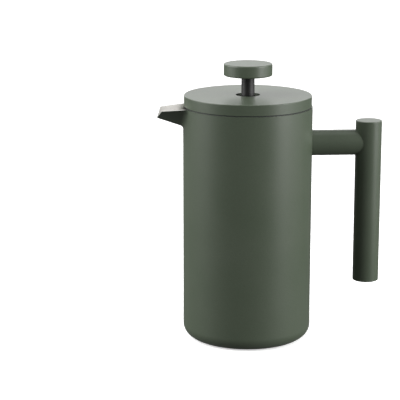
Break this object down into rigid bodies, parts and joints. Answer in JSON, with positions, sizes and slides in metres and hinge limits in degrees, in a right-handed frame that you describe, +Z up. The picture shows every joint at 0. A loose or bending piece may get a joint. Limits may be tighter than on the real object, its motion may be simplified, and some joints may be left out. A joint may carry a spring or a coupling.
{
  "type": "french press",
  "caption": "Double-wall steel coffee press with a lift-off lid, strainer ring, spout, bar-and-grip handle and a knob-topped plunger carrying a spring-edged filter.",
  "frame": {"origin": "vessel axis at the foot's resting plane", "axes": "+Z up along the vessel and plunger, +X towards the handle, -X towards the spout"},
  "size_m": [0.175, 0.1, 0.2162],
  "materials": {
    "coated_steel": "satin powder coat, sage green",
    "bare_steel": "satin brushed stainless steel",
    "drawn_steel": "bright drawn stainless steel",
    "woven_mesh": "fine plain-weave stainless mesh",
    "spring_wire": "bright spring wire",
    "dark_polymer": "matt black moulded acetal",
    "silicone": "matt dark grey silicone",
    "brass": "turned brass"
  },
  "bodies": {
    "vessel": {"outer_shell": "coated_steel", "spout": "coated_steel", "spout_trough": "bare_steel", "inner_liner": "bare_steel", "base_plate": "coated_steel", "handle_bar": "coated_steel", "handle_grip": "coated_steel", "grip_top_cap": "coated_steel", "grip_bottom_cap": "coated_steel"},
    "seal": {"lid_seal": "silicone"},
    "lid": {"lid_cover": "coated_steel", "lid_pan": "bare_steel", "strainer_ring": "bare_steel", "guide_bush": "dark_polymer", "bush_nut": "dark_polymer"},
    "plunger": {"knob_head": "coated_steel", "knob_insert": "brass", "knob_stem": "dark_polymer", "plunger_rod": "drawn_steel", "hub_nut": "drawn_steel", "cross_plate": "drawn_steel", "mesh_screen": "woven_mesh", "spiral_plate": "drawn_steel", "edge_spring": "spring_wire", "rod_collar": "drawn_steel"}
  },
  "joints": [
    {"name": "lid_lift", "type": "slide", "parent": "vessel", "child": "seal", "axis": [0, 0, 1], "range_m": [0, 0.19]},
    {"name": "lid_turn", "type": "hinge", "parent": "seal", "child": "lid", "pos_m": [0, 0, 0.1837], "axis": [0, 0, 1], "continuous": true},
    {"name": "plunger_slide", "type": "slide", "parent": "lid", "child": "plunger", "axis": [0, 0, 1], "range_m": [0, 0.14]}
  ]
}
